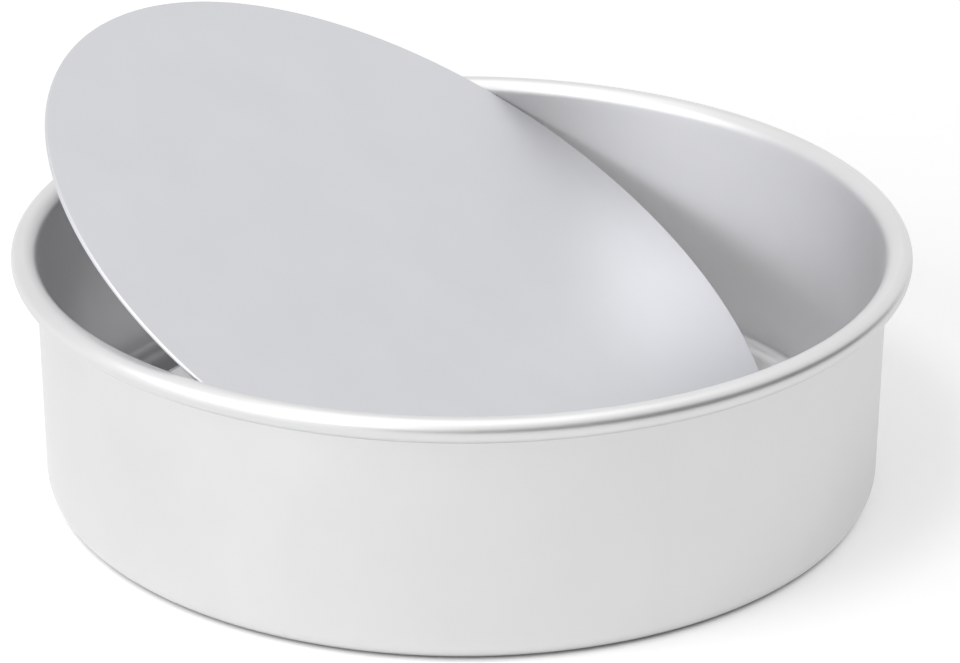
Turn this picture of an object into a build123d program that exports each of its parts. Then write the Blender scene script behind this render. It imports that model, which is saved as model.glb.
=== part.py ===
from build123d import *
from math import acos, cos, degrees, hypot, pi, radians, sin
import os

# A round cake tin with a loose base, in millimetres, +Z up. The origin is the centre of the
# tin's underside. The base leans in the tin: it rises towards -X and passes over the rim there,
# its edge lies against the inside of the rim at two places, and its low side stands just above
# the table inside the open bottom.

# Tin: one sheet, turned inward into a ledge at the foot and rolled outward into a bead at the top
inside_diameter = 254.0  # across the foot of the wall
overall_height = 78.0
sheet = 0.8
wall_spread = 0.4  # how much larger the wall's radius is at the rim than at the foot
corner_radius = 6.4  # outside of the turn from the wall to the ledge
ledge_width = 6.4  # flat part, from the turn to the edge of the open bottom
bead_diameter = 7.2
curl_gap = 0.4  # between the wall and the end of the rolled edge

# Base: a flat disc, loose in the tin
base_play = 2.2  # all round, between the base and the foot of the wall
base_thickness = 1.3
base_edge_rounding = 0.3
base_tilt = 30.0  # degrees from level
lean_clearance = 0.3  # between the base and what it leans on, before its edges are rounded

# Turns of arcs, in degrees
quarter_turn = 90.0
half_turn = 180.0

# How finely the place of the leaning base is searched
edge_steps = 720
search_steps = 40

# Sizes of the tin that follow from those above
foot_inside = inside_diameter / 2
foot_outside = foot_inside + sheet
rim_inside = foot_inside + wall_spread
rim_outside = rim_inside + sheet
corner_centre = foot_outside - corner_radius
opening_radius = corner_centre - ledge_width

# The bead is rolled tight against the wall. The sheet turns outward over a shoulder, and then
# rolls down and in again with a smaller radius.
bead_radius = bead_diameter / 2
bead_centre = rim_outside + bead_radius
bead_height = overall_height - bead_radius
shoulder_radius = bead_centre - rim_inside
shoulder_height = overall_height - shoulder_radius
curl_turn = half_turn + quarter_turn - degrees(acos(1 - curl_gap / bead_radius))

# Sizes of the base that follow from the tin
base_radius = foot_inside - base_play
tilt = radians(base_tilt)
lower_face_height = lean_clearance + base_radius * sin(tilt)


def wall_gap(reach, height):
    """Distance from the inside of the tin to a point at this radius and height."""
    if height > shoulder_height:
        return hypot(bead_centre - reach, height - shoulder_height) - shoulder_radius
    spread_share = (shoulder_height - height) / (shoulder_height - corner_radius)
    return rim_inside - wall_spread * spread_share - reach


def least_gap(lower_face_x):
    """Least distance from the tin's wall and rim to the lower edge of the base."""
    gaps = []
    for step in range(edge_steps):
        turn = pi * step / edge_steps
        fall = base_radius * cos(turn)
        reach = hypot(lower_face_x + fall * cos(tilt), base_radius * sin(turn))
        height = lower_face_height - fall * sin(tilt)
        if height > corner_radius:
            gaps.append(wall_gap(reach, height))
    return min(gaps)


def leaning_x():
    """Where the base's lower face is centred when its edge comes as near to the rim as it may."""
    too_far = -base_radius
    clear = 0.0
    for _ in range(search_steps):
        middle = (too_far + clear) / 2
        if least_gap(middle) < lean_clearance:
            too_far = middle
        else:
            clear = middle
    return clear


base_plane = Plane(
    origin=(leaning_x(), 0, lower_face_height),
    x_dir=(cos(tilt), 0, -sin(tilt)),
    z_dir=(sin(tilt), 0, cos(tilt)),
)

# Tin body: the section of the sheet, turned round the tin's axis
with BuildPart() as tin_body:
    with BuildSketch(Plane.XZ):
        with BuildLine():
            Line((foot_inside, corner_radius), (rim_inside, shoulder_height))
            CenterArc((bead_centre, shoulder_height), shoulder_radius, half_turn, -quarter_turn)
            curl_outside = CenterArc(
                (bead_centre, bead_height), bead_radius, quarter_turn, -curl_turn
            )
            curl_inside = CenterArc(
                (bead_centre, bead_height), bead_radius - sheet, quarter_turn, -curl_turn
            )
            Line(curl_outside @ 1, curl_inside @ 1)
            CenterArc((bead_centre, shoulder_height), bead_radius, quarter_turn, quarter_turn)
            Line((rim_outside, shoulder_height), (foot_outside, corner_radius))
            CenterArc((corner_centre, corner_radius), corner_radius, 0, -quarter_turn)
            Polyline(
                (corner_centre, 0), (opening_radius, 0), (opening_radius, sheet), (corner_centre, sheet)
            )
            CenterArc((corner_centre, corner_radius), corner_radius - sheet, -quarter_turn, quarter_turn)
        make_face()
    revolve(axis=Axis.Z)
tin_body.part.label = "tin_body"

# Loose base: a disc with its two edges rounded
with BuildPart() as loose_base:
    with BuildSketch(base_plane):
        Circle(base_radius)
    extrude(amount=base_thickness)
    fillet(loose_base.edges().filter_by(GeomType.CIRCLE), radius=base_edge_rounding)
loose_base.part.label = "loose_base"

os.makedirs("parts", exist_ok=True)
export_step(tin_body.part, "parts/tin_body.step")
export_step(loose_base.part, "parts/loose_base.step")
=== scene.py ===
"""A round cake tin with its loose base leaning in it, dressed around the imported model.

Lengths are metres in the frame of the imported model: +Z is up, the tin stands on the floor at
Z = 0 with its axis at the origin, and the base rises towards -X.
"""

from math import acos, cos, pi, radians, sin, tan

import bpy
from bpy.props import (
    FloatProperty,
    FloatVectorProperty,
    IntProperty,
    PointerProperty,
)
from bpy.types import NodeSocket, Operator, Panel, PropertyGroup
from mathutils import Matrix, Vector


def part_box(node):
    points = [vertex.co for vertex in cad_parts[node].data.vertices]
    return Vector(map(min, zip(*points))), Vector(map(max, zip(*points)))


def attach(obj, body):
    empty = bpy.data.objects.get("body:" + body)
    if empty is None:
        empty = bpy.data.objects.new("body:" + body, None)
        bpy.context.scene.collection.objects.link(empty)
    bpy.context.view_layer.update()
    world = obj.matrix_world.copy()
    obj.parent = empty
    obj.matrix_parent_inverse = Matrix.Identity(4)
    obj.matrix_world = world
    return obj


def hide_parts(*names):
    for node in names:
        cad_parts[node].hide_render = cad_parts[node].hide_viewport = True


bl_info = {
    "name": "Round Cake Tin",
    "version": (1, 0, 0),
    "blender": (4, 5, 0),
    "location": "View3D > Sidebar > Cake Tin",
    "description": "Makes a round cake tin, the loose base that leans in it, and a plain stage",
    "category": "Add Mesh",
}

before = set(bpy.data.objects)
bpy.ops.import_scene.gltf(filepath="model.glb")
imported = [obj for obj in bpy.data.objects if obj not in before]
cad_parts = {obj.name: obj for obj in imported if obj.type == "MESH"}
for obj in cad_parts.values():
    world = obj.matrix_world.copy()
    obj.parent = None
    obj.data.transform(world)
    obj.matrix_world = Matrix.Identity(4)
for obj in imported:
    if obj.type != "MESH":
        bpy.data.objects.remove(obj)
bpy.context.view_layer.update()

MM = 0.001

tin_low, tin_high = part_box("tin_body")
base_low, base_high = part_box("loose_base")


# Properties

def length(name, default, description):
    """A length that the sidebar shows in the scene's units"""
    return FloatProperty(
        name=name,
        description=description,
        default=default,
        min=0.0,
        precision=4,
        subtype="DISTANCE",
        unit="LENGTH",
    )


def angle(name, default, description):
    """An angle, given here in degrees"""
    return FloatProperty(
        name=name,
        description=description,
        default=radians(default),
        subtype="ANGLE",
        unit="ROTATION",
    )


def factor(name, default, description):
    """A share from 0 to 1"""
    return FloatProperty(
        name=name, description=description, default=default, min=0.0, max=1.0, subtype="FACTOR"
    )


def colour(name, default, description):
    """A linear colour"""
    return FloatVectorProperty(
        name=name, description=description, default=default, min=0.0, max=1.0, subtype="COLOR"
    )


def count(name, default, description):
    """A whole number of steps or rows"""
    return IntProperty(name=name, description=description, default=default, min=3)


class TinBodySizes(PropertyGroup):
    """Sizes of the rolled sheet that the tin is made from"""

    height: length("Height", tin_high.z - tin_low.z, "From the table to the top of the bead")
    rim_diameter: length("Rim Diameter", tin_high.x - tin_low.x, "Across the outside of the bead")
    sheet: length("Sheet", 0.8 * MM, "Thickness of the metal")
    bead_diameter: length("Bead Diameter", 7.2 * MM, "Across the rolled edge, outside")
    curl_gap: length("Curl Gap", 0.4 * MM, "From the wall to the end of the rolled edge")
    wall_spread: length("Wall Spread", 0.4 * MM, "How much wider the wall is at the rim, in radius")
    corner_radius: length("Corner Radius", 6.4 * MM, "Outside of the turn from wall to ledge")
    ledge_width: length("Ledge Width", 6.4 * MM, "Flat part of the ledge that carries the base")
    cut_rounding: length("Cut Rounding", 0.15 * MM, "Rounding of the sheet's cut edges")
    steps_around: count("Steps Around", 360, "Faces in one turn of the tin")


class LooseBaseSizes(PropertyGroup):
    """Sizes and place of the loose base"""

    diameter: length("Diameter", base_high.y - base_low.y, "Across the disc")
    thickness: length("Thickness", 1.3 * MM, "Thickness of the disc")
    edge_rounding: length("Edge Rounding", 0.45 * MM, "Rounding of the disc's two edges")
    tilt: angle("Tilt", 30, "Lean of the disc from level")
    centre: FloatVectorProperty(
        name="Centre",
        description="Middle of the disc",
        default=(base_low + base_high) / 2,
        subtype="TRANSLATION",
        unit="LENGTH",
    )
    steps_around: count("Steps Around", 360, "Faces in one turn of the disc")


class SatinFinish:
    """Satin anodised aluminium, as both pieces have it"""

    roughness: factor("Roughness", 0.42, "How widely the satin surface spreads a reflection")
    grain_size: length("Grain Size", 0.35 * MM, "Width of the finest grain of the matt etch")
    grain_depth: length("Grain Depth", 0.004 * MM, "Height of the grain")
    grain_spread: factor("Grain Spread", 0.1, "How much the grain changes the roughness")
    line_spacing: length("Line Spacing", 0.8 * MM, "Between the faint lines left by forming")
    line_length: length("Line Length", 30 * MM, "How far a line runs before it fades")
    line_depth: length("Line Depth", 0.003 * MM, "Height of the lines")
    wave_size: length("Wave Size", 45 * MM, "Width of the slight waves of thin sheet")
    wave_depth: length("Wave Depth", 0.04 * MM, "Height of the waves")
    cloud_size: length("Cloud Size", 30 * MM, "Width of the faint clouds in the anodising")
    cloud_strength: factor("Cloud Strength", 0.04, "How much the clouds change the colour")
    cloud_spread: factor("Cloud Spread", 0.06, "How much the clouds change the roughness")
    edge_width: length("Edge Width", 1.0 * MM, "How far handling has polished the edges")
    edge_shine: factor("Edge Shine", 0.1, "How much smoother the edges are")
    edge_light: factor("Edge Light", 0.03, "How much paler the edges are")


class TinBodyFinish(SatinFinish, PropertyGroup):
    """Finish of the tin"""

    colour: colour("Colour", (0.72, 0.72, 0.725), "Colour of the metal face on")


class LooseBaseFinish(SatinFinish, PropertyGroup):
    """Finish of the loose base"""

    # Darker than the tin's colour though it is the same metal: painted shade for the base's tilted
    # face
    colour: colour("Colour", (0.65, 0.655, 0.68), "Colour of the metal face on")


class StageSettings(PropertyGroup):
    """Camera, floor and lights"""

    azimuth: angle("Azimuth", 18.407, "Turn of the camera round the tin, from looking along +Y")
    elevation: angle("Elevation", 24.363, "Height of the camera above the horizon")
    roll: angle("Roll", 0.258, "Turn of the camera about its line of sight")
    distance: length("Distance", 1.07969, "From the middle of the wall to the camera")
    shift_right: length("Shift Right", 5.533 * MM, "How far the camera stands to the right")
    shift_up: length("Shift Up", 3.484 * MM, "How far the camera stands up, square to its view")
    aim_height: length("Aim Height", 40 * MM, "Height that the camera's circle is centred on")
    lens: FloatProperty(name="Lens", description="Focal length in millimetres", default=132.22)
    floor_colour: colour("Floor Colour", (0.8, 0.8, 0.8), "Colour of the matt white floor")
    floor_reach: length("Floor Reach", 4.0, "Half of the floor's width")
    floor_glow: factor("Floor Glow", 0.44, "White that the floor adds where it is seen")
    # Painted light and shade: the white the floor adds inside the open bottom stands for the dim
    # light under the disc, and the metal inside mirrors it
    painted_inner_light: factor("Painted Inner Light", 0.27, "The same, on the floor inside the open bottom")
    far_glow: factor("Far Glow", 0.3, "White that the floor adds far from the tin")
    # Shadow Start and Shadow Edge size a painted contact shadow, the ring round the foot where the
    # floor adds no white
    shadow_start: length("Shadow Start", 2.1 * MM, "Width of the dark line outside the tin's foot")
    shadow_edge: length("Shadow Edge", 3.0 * MM, "Width over which that line fades to white")
    world_light: factor("World Light", 0.38, "Soft light that comes from all round")


class CakeTinSettings(PropertyGroup):
    """All the sizes and colours of the cake tin"""

    tin: PointerProperty(type=TinBodySizes)
    base: PointerProperty(type=LooseBaseSizes)
    tin_finish: PointerProperty(type=TinBodyFinish)
    base_finish: PointerProperty(type=LooseBaseFinish)
    stage: PointerProperty(type=StageSettings)


# Node trees

class TreeMaker:
    """Adds nodes to a tree and feeds their inputs with values or with other nodes' outputs"""

    # From one node to the next in the node editor
    column_width = 200

    def __init__(self, tree):
        self.tree = tree

    def add(self, kind, inputs=None, **settings):
        """A new node with its inputs fed and its settings made"""
        node = self.tree.nodes.new(kind)
        node.location = (self.column_width * len(self.tree.nodes), 0)
        for name, value in settings.items():
            setattr(node, name, value)
        for name, value in (inputs or {}).items():
            self.feed(node.inputs[name], value)
        return node

    def feed(self, socket, value):
        """Links another node's output to the socket, or sets the socket's own value"""
        if isinstance(value, NodeSocket):
            self.tree.links.new(value, socket)
        else:
            socket.default_value = value

    def math(self, operation, *values):
        """The result of one operation on numbers"""
        return self.add("ShaderNodeMath", dict(enumerate(values)), operation=operation).outputs[0]

    def vector(self, x=0.0, y=0.0, z=0.0):
        """A vector put together from its parts"""
        return self.add("ShaderNodeCombineXYZ", {"X": x, "Y": y, "Z": z}).outputs["Vector"]


def empty_material(name):
    """A material with no nodes yet, and the maker of its nodes"""
    material = bpy.data.materials.new(name)
    material.use_nodes = True
    material.node_tree.nodes.clear()
    return material, TreeMaker(material.node_tree)


def geometry_tree(name, inputs):
    """A geometry tree with the named inputs and one geometry output, and the maker of its nodes"""
    tree = bpy.data.node_groups.new(name, "GeometryNodeTree")
    for input_name, kind in inputs.items():
        tree.interface.new_socket(name=input_name, in_out="INPUT", socket_type="NodeSocket" + kind)
    tree.interface.new_socket(name="Mesh", in_out="OUTPUT", socket_type="NodeSocketGeometry")
    maker = TreeMaker(tree)
    return tree, maker, maker.add("NodeGroupInput").outputs


def end_tree(maker, mesh, material):
    """Finishes a geometry tree with Realize Instances and Set Material"""
    real = maker.add("GeometryNodeRealizeInstances", {"Geometry": mesh}).outputs["Geometry"]
    painted = maker.add("GeometryNodeSetMaterial", {"Geometry": real, "Material": material})
    maker.add("NodeGroupOutput", {"Mesh": painted.outputs["Geometry"]})


# Points nearer to each other than this become one
MERGE_DISTANCE = 0.001 * MM


def chain_points(maker, curves):
    """Points along several curves, in their order, without the doubles where they meet"""
    joined = maker.add("GeometryNodeJoinGeometry")
    # The last link made to a join is the first that it reads
    for curve in reversed(curves):
        maker.feed(joined.inputs["Geometry"], curve)
    points = maker.add(
        "GeometryNodeCurveToPoints", {"Curve": joined.outputs["Geometry"]}, mode="EVALUATED"
    ).outputs["Points"]
    return maker.add(
        "GeometryNodeMergeByDistance", {"Geometry": points, "Distance": MERGE_DISTANCE}
    ).outputs["Geometry"]


# Faces across the rounding of a cut edge
ROUNDING_STEPS = 4


def turned_sheet_tree():
    """Gives a centre line its thickness and turns it round Z.

    The centre line has X as its radius and Y as its height. Its ends are the sheet's cut edges,
    and are rounded. Where the section isn't closed, the line starts on the axis.
    """
    tree, maker, inputs = geometry_tree(
        "Turned Sheet",
        {
            "Centre Line": "Geometry",
            "Closed": "Bool",
            "Sheet": "Float",
            "Cut Rounding": "Float",
            "Turning Radius": "Float",
            "Steps Around": "Int",
        },
    )
    line = maker.add("GeometryNodePointsToCurves", {"Points": inputs["Centre Line"]})
    ends = maker.add("GeometryNodeCurveEndpointSelection", {"Start Size": inputs["Closed"]})
    marked = maker.add("GeometryNodeStoreNamedAttribute", {
        "Geometry": line.outputs["Curves"],
        "Name": "cut_end",
        "Value": ends.outputs["Selection"],
    }, data_type="FLOAT", domain="POINT").outputs["Geometry"]
    normal = maker.add("GeometryNodeInputNormal").outputs["Normal"]
    sides = []
    for share in (-0.5, 0.5):
        offset = maker.add("ShaderNodeVectorMath", {
            0: normal,
            "Scale": maker.math("MULTIPLY", inputs["Sheet"], share),
        }, operation="SCALE").outputs["Vector"]
        side = maker.add("GeometryNodeSetPosition", {"Geometry": marked, "Offset": offset})
        sides.append(side.outputs["Geometry"])
    back = maker.add("GeometryNodeReverseCurve", {"Curve": sides[1]}).outputs["Curve"]
    outline = maker.add("GeometryNodePointsToCurves", {
        "Points": chain_points(maker, [sides[0], back]),
    }).outputs["Curves"]
    closed = maker.add("GeometryNodeSetSplineCyclic", {
        "Geometry": outline,
        "Cyclic": inputs["Closed"],
    }).outputs["Geometry"]
    cut_end = maker.add("GeometryNodeInputNamedAttribute", {"Name": "cut_end"})
    rounded = maker.add("GeometryNodeFilletCurve", {
        "Curve": closed,
        "Count": ROUNDING_STEPS,
        "Radius": maker.math("MULTIPLY", inputs["Cut Rounding"], cut_end.outputs["Attribute"]),
        "Limit Radius": True,
    }, mode="POLY").outputs["Curve"]
    # Curve to Mesh lays the profile's X outward from the circle and its Y downward
    profile = maker.add("GeometryNodeTransform", {
        "Geometry": rounded,
        "Translation": maker.vector(x=maker.math("MULTIPLY", inputs["Turning Radius"], -1.0)),
        "Scale": (1.0, -1.0, 1.0),
    }).outputs["Geometry"]
    circle = maker.add("GeometryNodeCurvePrimitiveCircle", {
        "Resolution": inputs["Steps Around"],
        "Radius": inputs["Turning Radius"],
    }).outputs["Curve"]
    turned = maker.add("GeometryNodeCurveToMesh", {"Curve": circle, "Profile Curve": profile})
    merged = maker.add("GeometryNodeMergeByDistance", {
        "Geometry": turned.outputs["Mesh"],
        "Distance": MERGE_DISTANCE,
    }).outputs["Geometry"]
    bare = maker.add("GeometryNodeRemoveAttribute", {"Geometry": merged, "Name": "cut_end"})
    smooth = maker.add("GeometryNodeSetShadeSmooth", {"Geometry": bare.outputs["Geometry"]})
    maker.add("NodeGroupOutput", {"Mesh": smooth.outputs["Geometry"]})
    return tree


# Quarter of a turn
QUARTER = pi / 2

# Faces along each stretch of the tin's sheet, from the open bottom to the end of the roll
LEDGE_ROWS = 8
CORNER_STEPS = 12
WALL_ROWS = 24
SHOULDER_STEPS = 12
CURL_STEPS = 36


def rolled_tin_tree(turned_sheet):
    """The tin: ledge, corner, wall, shoulder and roll in one line of sheet, turned round Z"""
    tree, maker, inputs = geometry_tree(
        "Rolled Tin",
        {
            "Opening Radius": "Float",
            "Corner Centre": "Float",
            "Corner Radius": "Float",
            "Bead Centre": "Float",
            "Shoulder Height": "Float",
            "Shoulder Radius": "Float",
            "Bead Height": "Float",
            "Bead Radius": "Float",
            "Curl Turn": "Float",
            "Sheet": "Float",
            "Cut Rounding": "Float",
            "Steps Around": "Int",
            "Material": "Material",
        },
    )
    half_sheet = maker.math("MULTIPLY", inputs["Sheet"], 0.5)

    def arc(centre_radius, centre_height, radius, start, sweep, steps):
        """Part of a circle, turned from start through sweep"""
        drawn = maker.add("GeometryNodeCurveArc", {
            "Resolution": steps + 1,
            "Radius": radius,
            "Start Angle": start,
            "Sweep Angle": sweep,
        }, mode="RADIUS").outputs["Curve"]
        return maker.add("GeometryNodeTransform", {
            "Geometry": drawn,
            "Translation": maker.vector(centre_radius, centre_height),
        }).outputs["Geometry"]

    def straight(start, end, rows):
        """A straight line in equal rows"""
        drawn = maker.add("GeometryNodeCurvePrimitiveLine", {"Start": start, "End": end})
        return maker.add("GeometryNodeResampleCurve", {
            "Curve": drawn.outputs["Curve"],
            "Count": rows + 1,
        }, mode="COUNT").outputs["Curve"]

    corner = maker.math("SUBTRACT", inputs["Corner Radius"], half_sheet)
    shoulder = maker.math("SUBTRACT", inputs["Shoulder Radius"], half_sheet)
    wall_foot = maker.math("ADD", inputs["Corner Centre"], corner)
    wall_top = maker.math("SUBTRACT", inputs["Bead Centre"], shoulder)
    ledge = straight(
        maker.vector(inputs["Opening Radius"], half_sheet),
        maker.vector(inputs["Corner Centre"], half_sheet),
        LEDGE_ROWS,
    )
    turn = arc(
        inputs["Corner Centre"], inputs["Corner Radius"], corner, -QUARTER, QUARTER, CORNER_STEPS
    )
    wall = straight(
        maker.vector(wall_foot, inputs["Corner Radius"]),
        maker.vector(wall_top, inputs["Shoulder Height"]),
        WALL_ROWS,
    )
    over = arc(
        inputs["Bead Centre"], inputs["Shoulder Height"], shoulder, 2 * QUARTER, -QUARTER,
        SHOULDER_STEPS,
    )
    curl = arc(
        inputs["Bead Centre"],
        inputs["Bead Height"],
        maker.math("SUBTRACT", inputs["Bead Radius"], half_sheet),
        QUARTER,
        maker.math("MULTIPLY", inputs["Curl Turn"], -1.0),
        CURL_STEPS,
    )
    body = maker.add("GeometryNodeGroup", node_tree=turned_sheet)
    maker.feed(body.inputs["Centre Line"], chain_points(maker, [ledge, turn, wall, over, curl]))
    maker.feed(body.inputs["Closed"], True)
    maker.feed(body.inputs["Turning Radius"], inputs["Bead Centre"])
    for name in ("Sheet", "Cut Rounding", "Steps Around"):
        maker.feed(body.inputs[name], inputs[name])
    end_tree(maker, body.outputs["Mesh"], inputs["Material"])
    return tree


# Rows of faces from the middle of the base to its edge
BASE_ROWS = 16

# Power that crowds the rows towards the edge, where 1 would space them evenly
ROW_CROWDING = 2.0


def flat_base_tree(turned_sheet):
    """The loose base: a flat disc with rounded edges, tilted and put in its place"""
    tree, maker, inputs = geometry_tree(
        "Flat Base",
        {
            "Diameter": "Float",
            "Sheet": "Float",
            "Cut Rounding": "Float",
            "Steps Around": "Int",
            "Tilt": "Float",
            "Centre": "Vector",
            "Material": "Material",
        },
    )
    radius = maker.math("MULTIPLY", inputs["Diameter"], 0.5)
    line = maker.add("GeometryNodeCurvePrimitiveLine", {"End": maker.vector(x=radius)})
    rows = maker.add("GeometryNodeResampleCurve", {
        "Curve": line.outputs["Curve"],
        "Count": BASE_ROWS + 1,
    }, mode="COUNT").outputs["Curve"]
    # The rows crowd towards the edge, so that its rounding doesn't shade the flat
    share = maker.add("GeometryNodeSplineParameter").outputs["Factor"]
    left = maker.math("POWER", maker.math("SUBTRACT", 1.0, share), ROW_CROWDING)
    place = maker.math("MULTIPLY", radius, maker.math("SUBTRACT", 1.0, left))
    crowded = maker.add("GeometryNodeSetPosition", {
        "Geometry": rows,
        "Position": maker.vector(x=place),
    }).outputs["Geometry"]
    disc = maker.add("GeometryNodeGroup", node_tree=turned_sheet)
    maker.feed(disc.inputs["Centre Line"], chain_points(maker, [crowded]))
    maker.feed(disc.inputs["Closed"], False)
    maker.feed(disc.inputs["Turning Radius"], radius)
    for name in ("Sheet", "Cut Rounding", "Steps Around"):
        maker.feed(disc.inputs[name], inputs[name])
    placed = maker.add("GeometryNodeTransform", {
        "Geometry": disc.outputs["Mesh"],
        "Translation": inputs["Centre"],
        "Rotation": maker.vector(y=inputs["Tilt"]),
    }).outputs["Geometry"]
    end_tree(maker, placed, inputs["Material"])
    return tree


def piece_from_tree(name, tree, values, body, node):
    """Runs a tree once, keeps its result as a plain mesh and lets it stand for a CAD node"""
    piece = bpy.data.objects.new(name, bpy.data.meshes.new(name))
    bpy.context.scene.collection.objects.link(piece)
    modifier = piece.modifiers.new(tree.name, "NODES")
    modifier.node_group = tree
    for item in tree.interface.items_tree:
        if item.in_out == "INPUT":
            modifier[item.identifier] = values[item.name]
    evaluated = piece.evaluated_get(bpy.context.evaluated_depsgraph_get())
    mesh = bpy.data.meshes.new_from_object(evaluated)
    mesh.name = name
    piece.modifiers.clear()
    piece.data = mesh
    if not mesh.polygons:
        raise RuntimeError(f"{tree.name} made no faces for {name}")
    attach(piece, body)
    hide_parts(node)
    return piece


# Finishes

def piece_place(maker, centre, tilt):
    """Object coordinates in metres, centred on the piece and turned level with it"""
    place = maker.add("ShaderNodeTexCoord").outputs["Object"]
    return maker.add("ShaderNodeMapping", {
        "Vector": place,
        "Location": centre,
        "Rotation": (0.0, tilt, 0.0),
    }, vector_type="TEXTURE").outputs["Vector"]


def from_axis(maker, place):
    """A place's offset from the piece's axis, the length of that offset, and the place's height"""
    parts = maker.add("ShaderNodeSeparateXYZ", {"Vector": place}).outputs
    flat = maker.vector(parts["X"], parts["Y"])
    reach = maker.add("ShaderNodeVectorMath", {0: flat}, operation="LENGTH").outputs["Value"]
    return flat, reach, parts["Z"]


def scaled(maker, vector, scale):
    """The vector times a number"""
    return maker.add("ShaderNodeVectorMath", {
        0: vector,
        "Scale": scale,
    }, operation="SCALE").outputs["Vector"]


def noise(maker, place, size, detail):
    """Noise from -1 to 1, with features about as wide as the size and finer ones by its detail"""
    value = maker.add("ShaderNodeTexNoise", {
        "Vector": scaled(maker, place, 1 / size),
        "Scale": 1.0,
        "Detail": detail,
    }).outputs[0]
    return maker.math("MULTIPLY_ADD", value, 2.0, -1.0)


def ring_band(maker, reach, height, ring, width):
    """1 on a ring round the piece's axis, falling to 0 at the width from it"""
    ring_reach, ring_height = ring
    away = maker.add("ShaderNodeVectorMath", {
        0: maker.vector(reach, height),
        1: (ring_reach, ring_height, 0.0),
    }, operation="DISTANCE").outputs["Value"]
    return maker.add("ShaderNodeMapRange", {
        "Value": away,
        "From Min": width,
        "From Max": 0.0,
    }, interpolation_type="SMOOTHSTEP").outputs["Result"]


def bumped(maker, layers):
    """A normal from layers of height, each given in metres"""
    normal = None
    for height, depth in layers:
        bump = maker.add("ShaderNodeBump", {"Height": height, "Distance": depth})
        if normal:
            maker.feed(bump.inputs["Normal"], normal)
        normal = bump.outputs["Normal"]
    return normal


# How many finer layers each noise has
GRAIN_DETAIL = 2.0
LINE_DETAIL = 2.0
WAVE_DETAIL = 1.0
CLOUD_DETAIL = 3.0


def satin_material(name, finish, centre, tilt, lines_place, worn_rings):
    """Satin silver anodised aluminium.

    The surface has the fine grain of a matt etch, faint lines from forming, slight waves, faint
    clouds in the anodising, and edges that handling has polished. lines_place lays the lines out.
    Each worn ring is a radius and a height on the piece.
    """
    material, maker = empty_material(name)
    place = piece_place(maker, centre, tilt)
    _, reach, height = from_axis(maker, place)

    grain = noise(maker, place, finish.grain_size, GRAIN_DETAIL)
    waves = noise(maker, place, finish.wave_size, WAVE_DETAIL)
    clouds = noise(maker, place, finish.cloud_size, CLOUD_DETAIL)
    lines = noise(maker, lines_place(maker, finish, place), 1.0, LINE_DETAIL)

    edge = 0.0
    for ring in worn_rings:
        band = ring_band(maker, reach, height, ring, finish.edge_width)
        edge = maker.math("MAXIMUM", edge, band)
    # The clouds, brought to between 0 and 1, make the wear uneven
    wear = maker.math("MULTIPLY_ADD", clouds, 0.5, 0.5)
    worn = maker.math("MULTIPLY", edge, wear)

    rough = maker.math("MULTIPLY_ADD", grain, finish.grain_spread, 1.0)
    rough = maker.math("MULTIPLY_ADD", clouds, finish.cloud_spread, rough)
    rough = maker.math("MULTIPLY_ADD", worn, -finish.edge_shine, rough)
    rough = maker.math("MULTIPLY", rough, finish.roughness)
    light = maker.math("MULTIPLY_ADD", clouds, finish.cloud_strength, 1.0)
    light = maker.math("MULTIPLY_ADD", worn, finish.edge_light, light)
    metal = maker.add("ShaderNodeBsdfPrincipled", {
        "Base Color": scaled(maker, tuple(finish.colour), light),
        "Metallic": 1.0,
        "Roughness": rough,
        "Normal": bumped(maker, [
            (waves, finish.wave_depth),
            (lines, finish.line_depth),
            (grain, finish.grain_depth),
        ]),
    })
    maker.add("ShaderNodeOutputMaterial", {"Surface": metal.outputs["BSDF"]})
    return material


def round_lines(maker, finish, place):
    """Where a place lies on lines that run round the axis without a seam, up the wall and inward.

    Along a line, one step is a line's length. Across the lines, one step is their spacing.
    """
    flat, reach, height = from_axis(maker, place)
    outward = maker.add("ShaderNodeVectorMath", {0: flat}, operation="NORMALIZE").outputs["Vector"]
    along = scaled(maker, outward, tin_high.x / finish.line_length)
    across = maker.math("DIVIDE", maker.math("SUBTRACT", height, reach), finish.line_spacing)
    return maker.add("ShaderNodeVectorMath", {
        0: along,
        1: maker.vector(z=across),
    }, operation="ADD").outputs["Vector"]


def straight_lines(maker, finish, place):
    """Where a place lies on lines that run straight along the sheet, in the same steps"""
    steps = (1 / finish.line_length, 1 / finish.line_spacing, 1 / finish.line_spacing)
    return maker.add("ShaderNodeVectorMath", {
        0: place,
        1: steps,
    }, operation="MULTIPLY").outputs["Vector"]


# Stage

def make_camera(stage):
    """The camera at the photograph's angle"""
    rise = stage.elevation
    back = Vector((0, -cos(rise), sin(rise)))
    right = Vector((1, 0, 0))
    up = Vector((0, sin(rise), cos(rise)))
    place = back * stage.distance + right * stage.shift_right + up * stage.shift_up
    place.z += stage.aim_height
    rolled_right = right * cos(stage.roll) + up * sin(stage.roll)
    rolled_up = up * cos(stage.roll) - right * sin(stage.roll)
    turn = Matrix((rolled_right, rolled_up, back)).transposed().to_4x4()
    camera = bpy.data.objects.new("camera", bpy.data.cameras.new("camera"))
    camera.data.lens = stage.lens
    camera.matrix_world = Matrix.Rotation(stage.azimuth, 4, "Z") @ Matrix.Translation(place) @ turn
    bpy.context.scene.collection.objects.link(camera)
    bpy.context.scene.camera = camera


def visible_rays(maker):
    """1 for the rays that see the backdrop: camera, glossy and transmission rays"""
    path = maker.add("ShaderNodeLightPath").outputs
    either = maker.math("MAXIMUM", path["Is Camera Ray"], path["Is Glossy Ray"])
    return maker.math("MAXIMUM", either, path["Is Transmission Ray"])


def stage_mesh(name, corners, faces, material):
    """A part of the stage"""
    mesh = bpy.data.meshes.new(name)
    mesh.from_pydata(corners, [], faces)
    mesh.materials.append(material)
    item = bpy.data.objects.new(name, mesh)
    bpy.context.scene.collection.objects.link(item)
    return item


# Distances from the tin's axis between which the floor's far white sets in
NEAR_FLOOR = 0.15
FAR_FLOOR = 1.2


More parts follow.
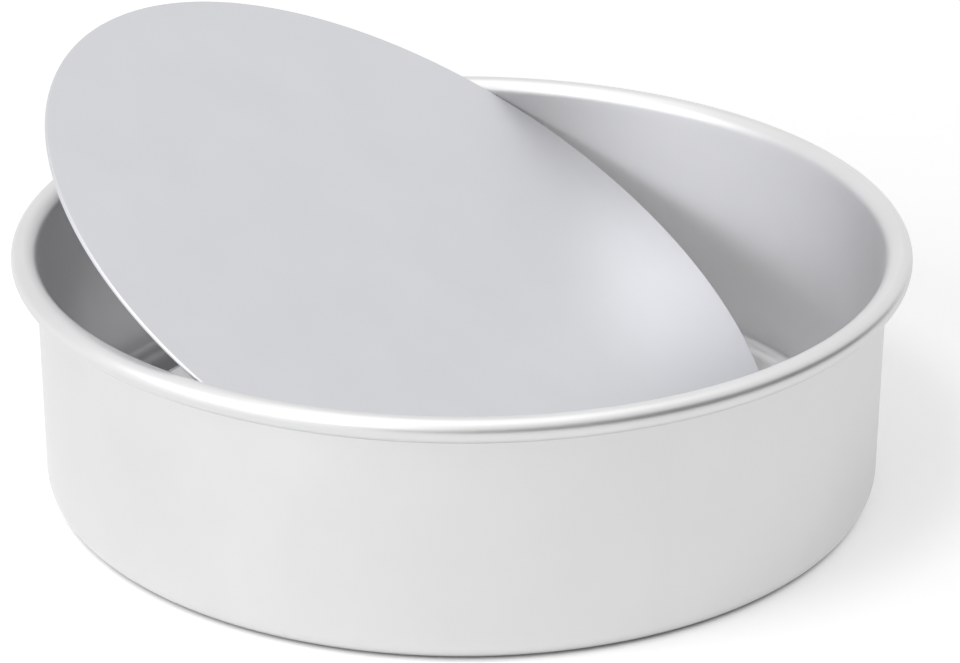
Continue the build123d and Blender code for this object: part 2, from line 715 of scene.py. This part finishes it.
def floor_material(stage, opening_radius, foot_radius):
    """Matt white that shows as plain white where no shadow lies.

    It adds white where it is seen, but none under the tin's foot: this leaves a painted contact
    shadow, a dark line that fades to white over the shadow edge.
    """
    material, maker = empty_material("matt white floor")
    place = maker.add("ShaderNodeTexCoord").outputs["Object"]
    reach = maker.add("ShaderNodeVectorMath", {0: place}, operation="LENGTH").outputs["Value"]
    # Painted contact shadow: no white near the foot, rising to the full glow past the shadow edge
    outside = maker.add("ShaderNodeMapRange", {
        "Value": reach,
        "From Min": foot_radius + stage.shadow_start,
        "From Max": foot_radius + stage.shadow_start + stage.shadow_edge,
        "To Max": stage.floor_glow,
    }, interpolation_type="SMOOTHSTEP").outputs["Result"]
    # Inside the open bottom the floor adds the painted inner light, dimmer than outside, for the
    # shade under the disc
    inside = maker.math("LESS_THAN", reach, opening_radius)
    far = maker.add("ShaderNodeMapRange", {
        "Value": reach,
        "From Min": NEAR_FLOOR,
        "From Max": FAR_FLOOR,
        "To Max": stage.far_glow,
    }, interpolation_type="SMOOTHSTEP").outputs["Result"]
    shown = maker.math("MULTIPLY_ADD", inside, stage.painted_inner_light, outside)
    shown = maker.math("ADD", shown, far)
    lit = maker.add("ShaderNodeBsdfDiffuse", {"Color": (*stage.floor_colour, 1.0)})
    glow = maker.add("ShaderNodeEmission", {
        "Strength": maker.math("MULTIPLY", visible_rays(maker), shown),
    })
    both = maker.add("ShaderNodeAddShader", {0: lit.outputs["BSDF"], 1: glow.outputs["Emission"]})
    maker.add("ShaderNodeOutputMaterial", {"Surface": both.outputs["Shader"]})
    return material


def make_floor(stage, opening_radius, foot_radius):
    """A wide matt white floor that keeps the tin's shadow"""
    reach = stage.floor_reach
    corners = [(-reach, -reach, 0), (reach, -reach, 0), (reach, reach, 0), (-reach, reach, 0)]
    material = floor_material(stage, opening_radius, foot_radius)
    stage_mesh("floor", corners, [(0, 1, 2, 3)], material)


WHITE = (1.0, 1.0, 1.0, 1.0)


def make_world(stage):
    """White where it is seen, and a soft light elsewhere"""
    world = bpy.data.worlds.new("studio")
    bpy.context.scene.world = world
    world.use_nodes = True
    world.node_tree.nodes.clear()
    maker = TreeMaker(world.node_tree)
    seen = visible_rays(maker)
    strength = maker.math("MULTIPLY_ADD", seen, 1.0 - stage.world_light, stage.world_light)
    background = maker.add("ShaderNodeBackground", {
        "Color": WHITE,
        "Strength": strength,
    })
    maker.add("ShaderNodeOutputWorld", {"Surface": background.outputs["Background"]})


def stage_place(stage, azimuth, elevation, distance):
    """A place round the tin. Azimuth 0 is behind the camera, and 90 is to its right."""
    turn = stage.azimuth + radians(azimuth)
    rise = radians(elevation)
    return distance * Vector((sin(turn) * cos(rise), -cos(turn) * cos(rise), sin(rise)))


# From the tin to every lamp
LAMP_DISTANCE = 1.6

# Azimuths and elevations in degrees, sizes in metres and powers in watts
LAMPS = (
    {"name": "left soft box", "azimuth": 300, "elevation": 30, "size": 1.0, "power": 4.2},
    {"name": "left front soft box", "azimuth": 322, "elevation": 32, "size": 1.0, "power": 3.6},
    {"name": "high left front soft box", "azimuth": 320, "elevation": 60, "size": 1.2, "power": 1.2},
    {"name": "top soft box", "azimuth": 0, "elevation": 90, "size": 1.4, "power": 3.4},
)

# Lights only the floor, for the tin's shadow, and isn't mirrored by the metal
SHADOW_LAMP = {"name": "shadow lamp", "azimuth": 318, "elevation": 68, "size": 0.4, "power": 3.5}


def make_lamp(stage, name, azimuth, elevation, size, power):
    """A square soft box that faces the tin"""
    lamp = bpy.data.objects.new(name, bpy.data.lights.new(name, "AREA"))
    lamp.data.size = size
    lamp.data.energy = power
    lamp.location = stage_place(stage, azimuth, elevation, LAMP_DISTANCE)
    lamp.rotation_euler = (-lamp.location).to_track_quat("-Z", "Y").to_euler()
    lamp.visible_camera = False
    bpy.context.scene.collection.objects.link(lamp)
    return lamp


# The card is bent round the tin at this distance, in this many flat columns
FLAG_DISTANCE = 2.0
FLAG_COLUMNS = 24

# Azimuths of the card's ends, and elevations of its top at the ends and in the middle, in degrees
FLAG_START = -20
FLAG_END = 125
FLAG_LOW = 8
FLAG_HIGH = 31

CARD_COLOUR = (0.05, 0.05, 0.05, 1.0)
CARD_ROUGHNESS = 1.0


def make_flag(stage):
    """A dark card to the right, which shades that side of the metal as the dark of a studio does"""
    material = bpy.data.materials.new("dark card")
    material.use_nodes = True
    surface = material.node_tree.nodes["Principled BSDF"]
    surface.inputs["Base Color"].default_value = CARD_COLOUR
    surface.inputs["Roughness"].default_value = CARD_ROUGHNESS
    corners = []
    for column in range(FLAG_COLUMNS + 1):
        share = column / FLAG_COLUMNS
        azimuth = FLAG_START + (FLAG_END - FLAG_START) * share
        rise = FLAG_LOW + (FLAG_HIGH - FLAG_LOW) * sin(pi * share)
        foot = stage_place(stage, azimuth, 0, FLAG_DISTANCE)
        top = FLAG_DISTANCE * tan(radians(rise))
        corners += [(foot.x, foot.y, 0.0), (foot.x, foot.y, top)]
    # Corners come in pairs, a foot and a top, so the next column's pair is two further on
    faces = [(first, first + 2, first + 3, first + 1) for first in range(0, 2 * FLAG_COLUMNS, 2)]
    flag = stage_mesh("flag", corners, faces, material)
    flag.visible_camera = False


# Operators

def tin_radii(sizes):
    """Radii of the bead's centre, of the corner's centre, and of the open bottom.

    The corner's centre stands over the outer edge of the flat ring that the tin stands on.
    """
    bead_radius = sizes.bead_diameter / 2
    bead_centre = sizes.rim_diameter / 2 - bead_radius
    foot_outside = bead_centre - bead_radius - sizes.wall_spread
    corner_centre = foot_outside - sizes.corner_radius
    return bead_centre, corner_centre, corner_centre - sizes.ledge_width


class CAKETIN_OT_make_tin_body(Operator):
    """Make the tin: wall, ledge and rolled rim in one sheet"""

    bl_idname = "cake_tin.make_tin_body"
    bl_label = "Make Tin Body"

    def execute(self, context):
        settings = context.scene.cake_tin
        sizes = settings.tin
        bead_centre, corner_centre, opening_radius = tin_radii(sizes)
        bead_radius = sizes.bead_diameter / 2
        shoulder_radius = bead_radius + sizes.sheet
        # Three quarters of a turn would bring the roll to the wall, so it ends short by the gap
        curl_turn = 3 * QUARTER - acos(1 - sizes.curl_gap / bead_radius)
        values = {
            "Opening Radius": opening_radius,
            "Corner Centre": corner_centre,
            "Corner Radius": sizes.corner_radius,
            "Bead Centre": bead_centre,
            "Shoulder Height": sizes.height - shoulder_radius,
            "Shoulder Radius": shoulder_radius,
            "Bead Height": sizes.height - bead_radius,
            "Bead Radius": bead_radius,
            "Curl Turn": curl_turn,
            "Sheet": sizes.sheet,
            "Cut Rounding": sizes.cut_rounding,
            "Steps Around": sizes.steps_around,
            "Material": satin_material(
                "tin satin anodised",
                settings.tin_finish,
                centre=(0.0, 0.0, 0.0),
                tilt=0.0,
                lines_place=round_lines,
                worn_rings=[
                    (bead_centre, sizes.height),
                    (opening_radius, sizes.sheet),
                ],
            ),
        }
        tree = rolled_tin_tree(turned_sheet_tree())
        piece_from_tree("rolled_tin", tree, values, "tin", "tin_body")
        return {"FINISHED"}


class CAKETIN_OT_make_loose_base(Operator):
    """Make the loose base, leaning in the tin"""

    bl_idname = "cake_tin.make_loose_base"
    bl_label = "Make Loose Base"

    def execute(self, context):
        settings = context.scene.cake_tin
        sizes = settings.base
        values = {
            "Diameter": sizes.diameter,
            "Sheet": sizes.thickness,
            "Cut Rounding": sizes.edge_rounding,
            "Steps Around": sizes.steps_around,
            "Tilt": sizes.tilt,
            "Centre": sizes.centre,
            "Material": satin_material(
                "base satin anodised",
                settings.base_finish,
                centre=sizes.centre,
                tilt=sizes.tilt,
                lines_place=straight_lines,
                worn_rings=[(sizes.diameter / 2, 0.0)],
            ),
        }
        tree = flat_base_tree(turned_sheet_tree())
        piece_from_tree("flat_base", tree, values, "base", "loose_base")
        return {"FINISHED"}


class CAKETIN_OT_make_stage(Operator):
    """Make the floor, the lights and the camera"""

    bl_idname = "cake_tin.make_stage"
    bl_label = "Make Stage"

    def execute(self, context):
        settings = context.scene.cake_tin
        stage = settings.stage
        _, foot_radius, opening_radius = tin_radii(settings.tin)
        make_floor(stage, opening_radius, foot_radius)
        make_world(stage)
        for lamp in LAMPS:
            make_lamp(stage, **lamp)
        make_lamp(stage, **SHADOW_LAMP).visible_glossy = False
        make_flag(stage)
        make_camera(stage)
        context.scene.view_settings.view_transform = "Standard"
        return {"FINISHED"}


class CAKETIN_PT_sidebar(Panel):
    """Lists the steps that make the cake tin"""

    bl_idname = "CAKETIN_PT_sidebar"
    bl_label = "Cake Tin"
    bl_space_type = "VIEW_3D"
    bl_region_type = "UI"
    bl_category = "Cake Tin"

    def draw(self, context):
        for operator in OPERATORS:
            self.layout.operator(operator.bl_idname)


OPERATORS = (CAKETIN_OT_make_tin_body, CAKETIN_OT_make_loose_base, CAKETIN_OT_make_stage)
CLASSES = (
    TinBodySizes,
    LooseBaseSizes,
    TinBodyFinish,
    LooseBaseFinish,
    StageSettings,
    CakeTinSettings,
    *OPERATORS,
    CAKETIN_PT_sidebar,
)


def register():
    for item in CLASSES:
        bpy.utils.register_class(item)
    bpy.types.Scene.cake_tin = PointerProperty(type=CakeTinSettings)


def unregister():
    del bpy.types.Scene.cake_tin
    for item in reversed(CLASSES):
        bpy.utils.unregister_class(item)


def main():
    register()
    bpy.ops.cake_tin.make_tin_body()
    bpy.ops.cake_tin.make_loose_base()
    bpy.ops.cake_tin.make_stage()


if __name__ == "__main__":
    main()
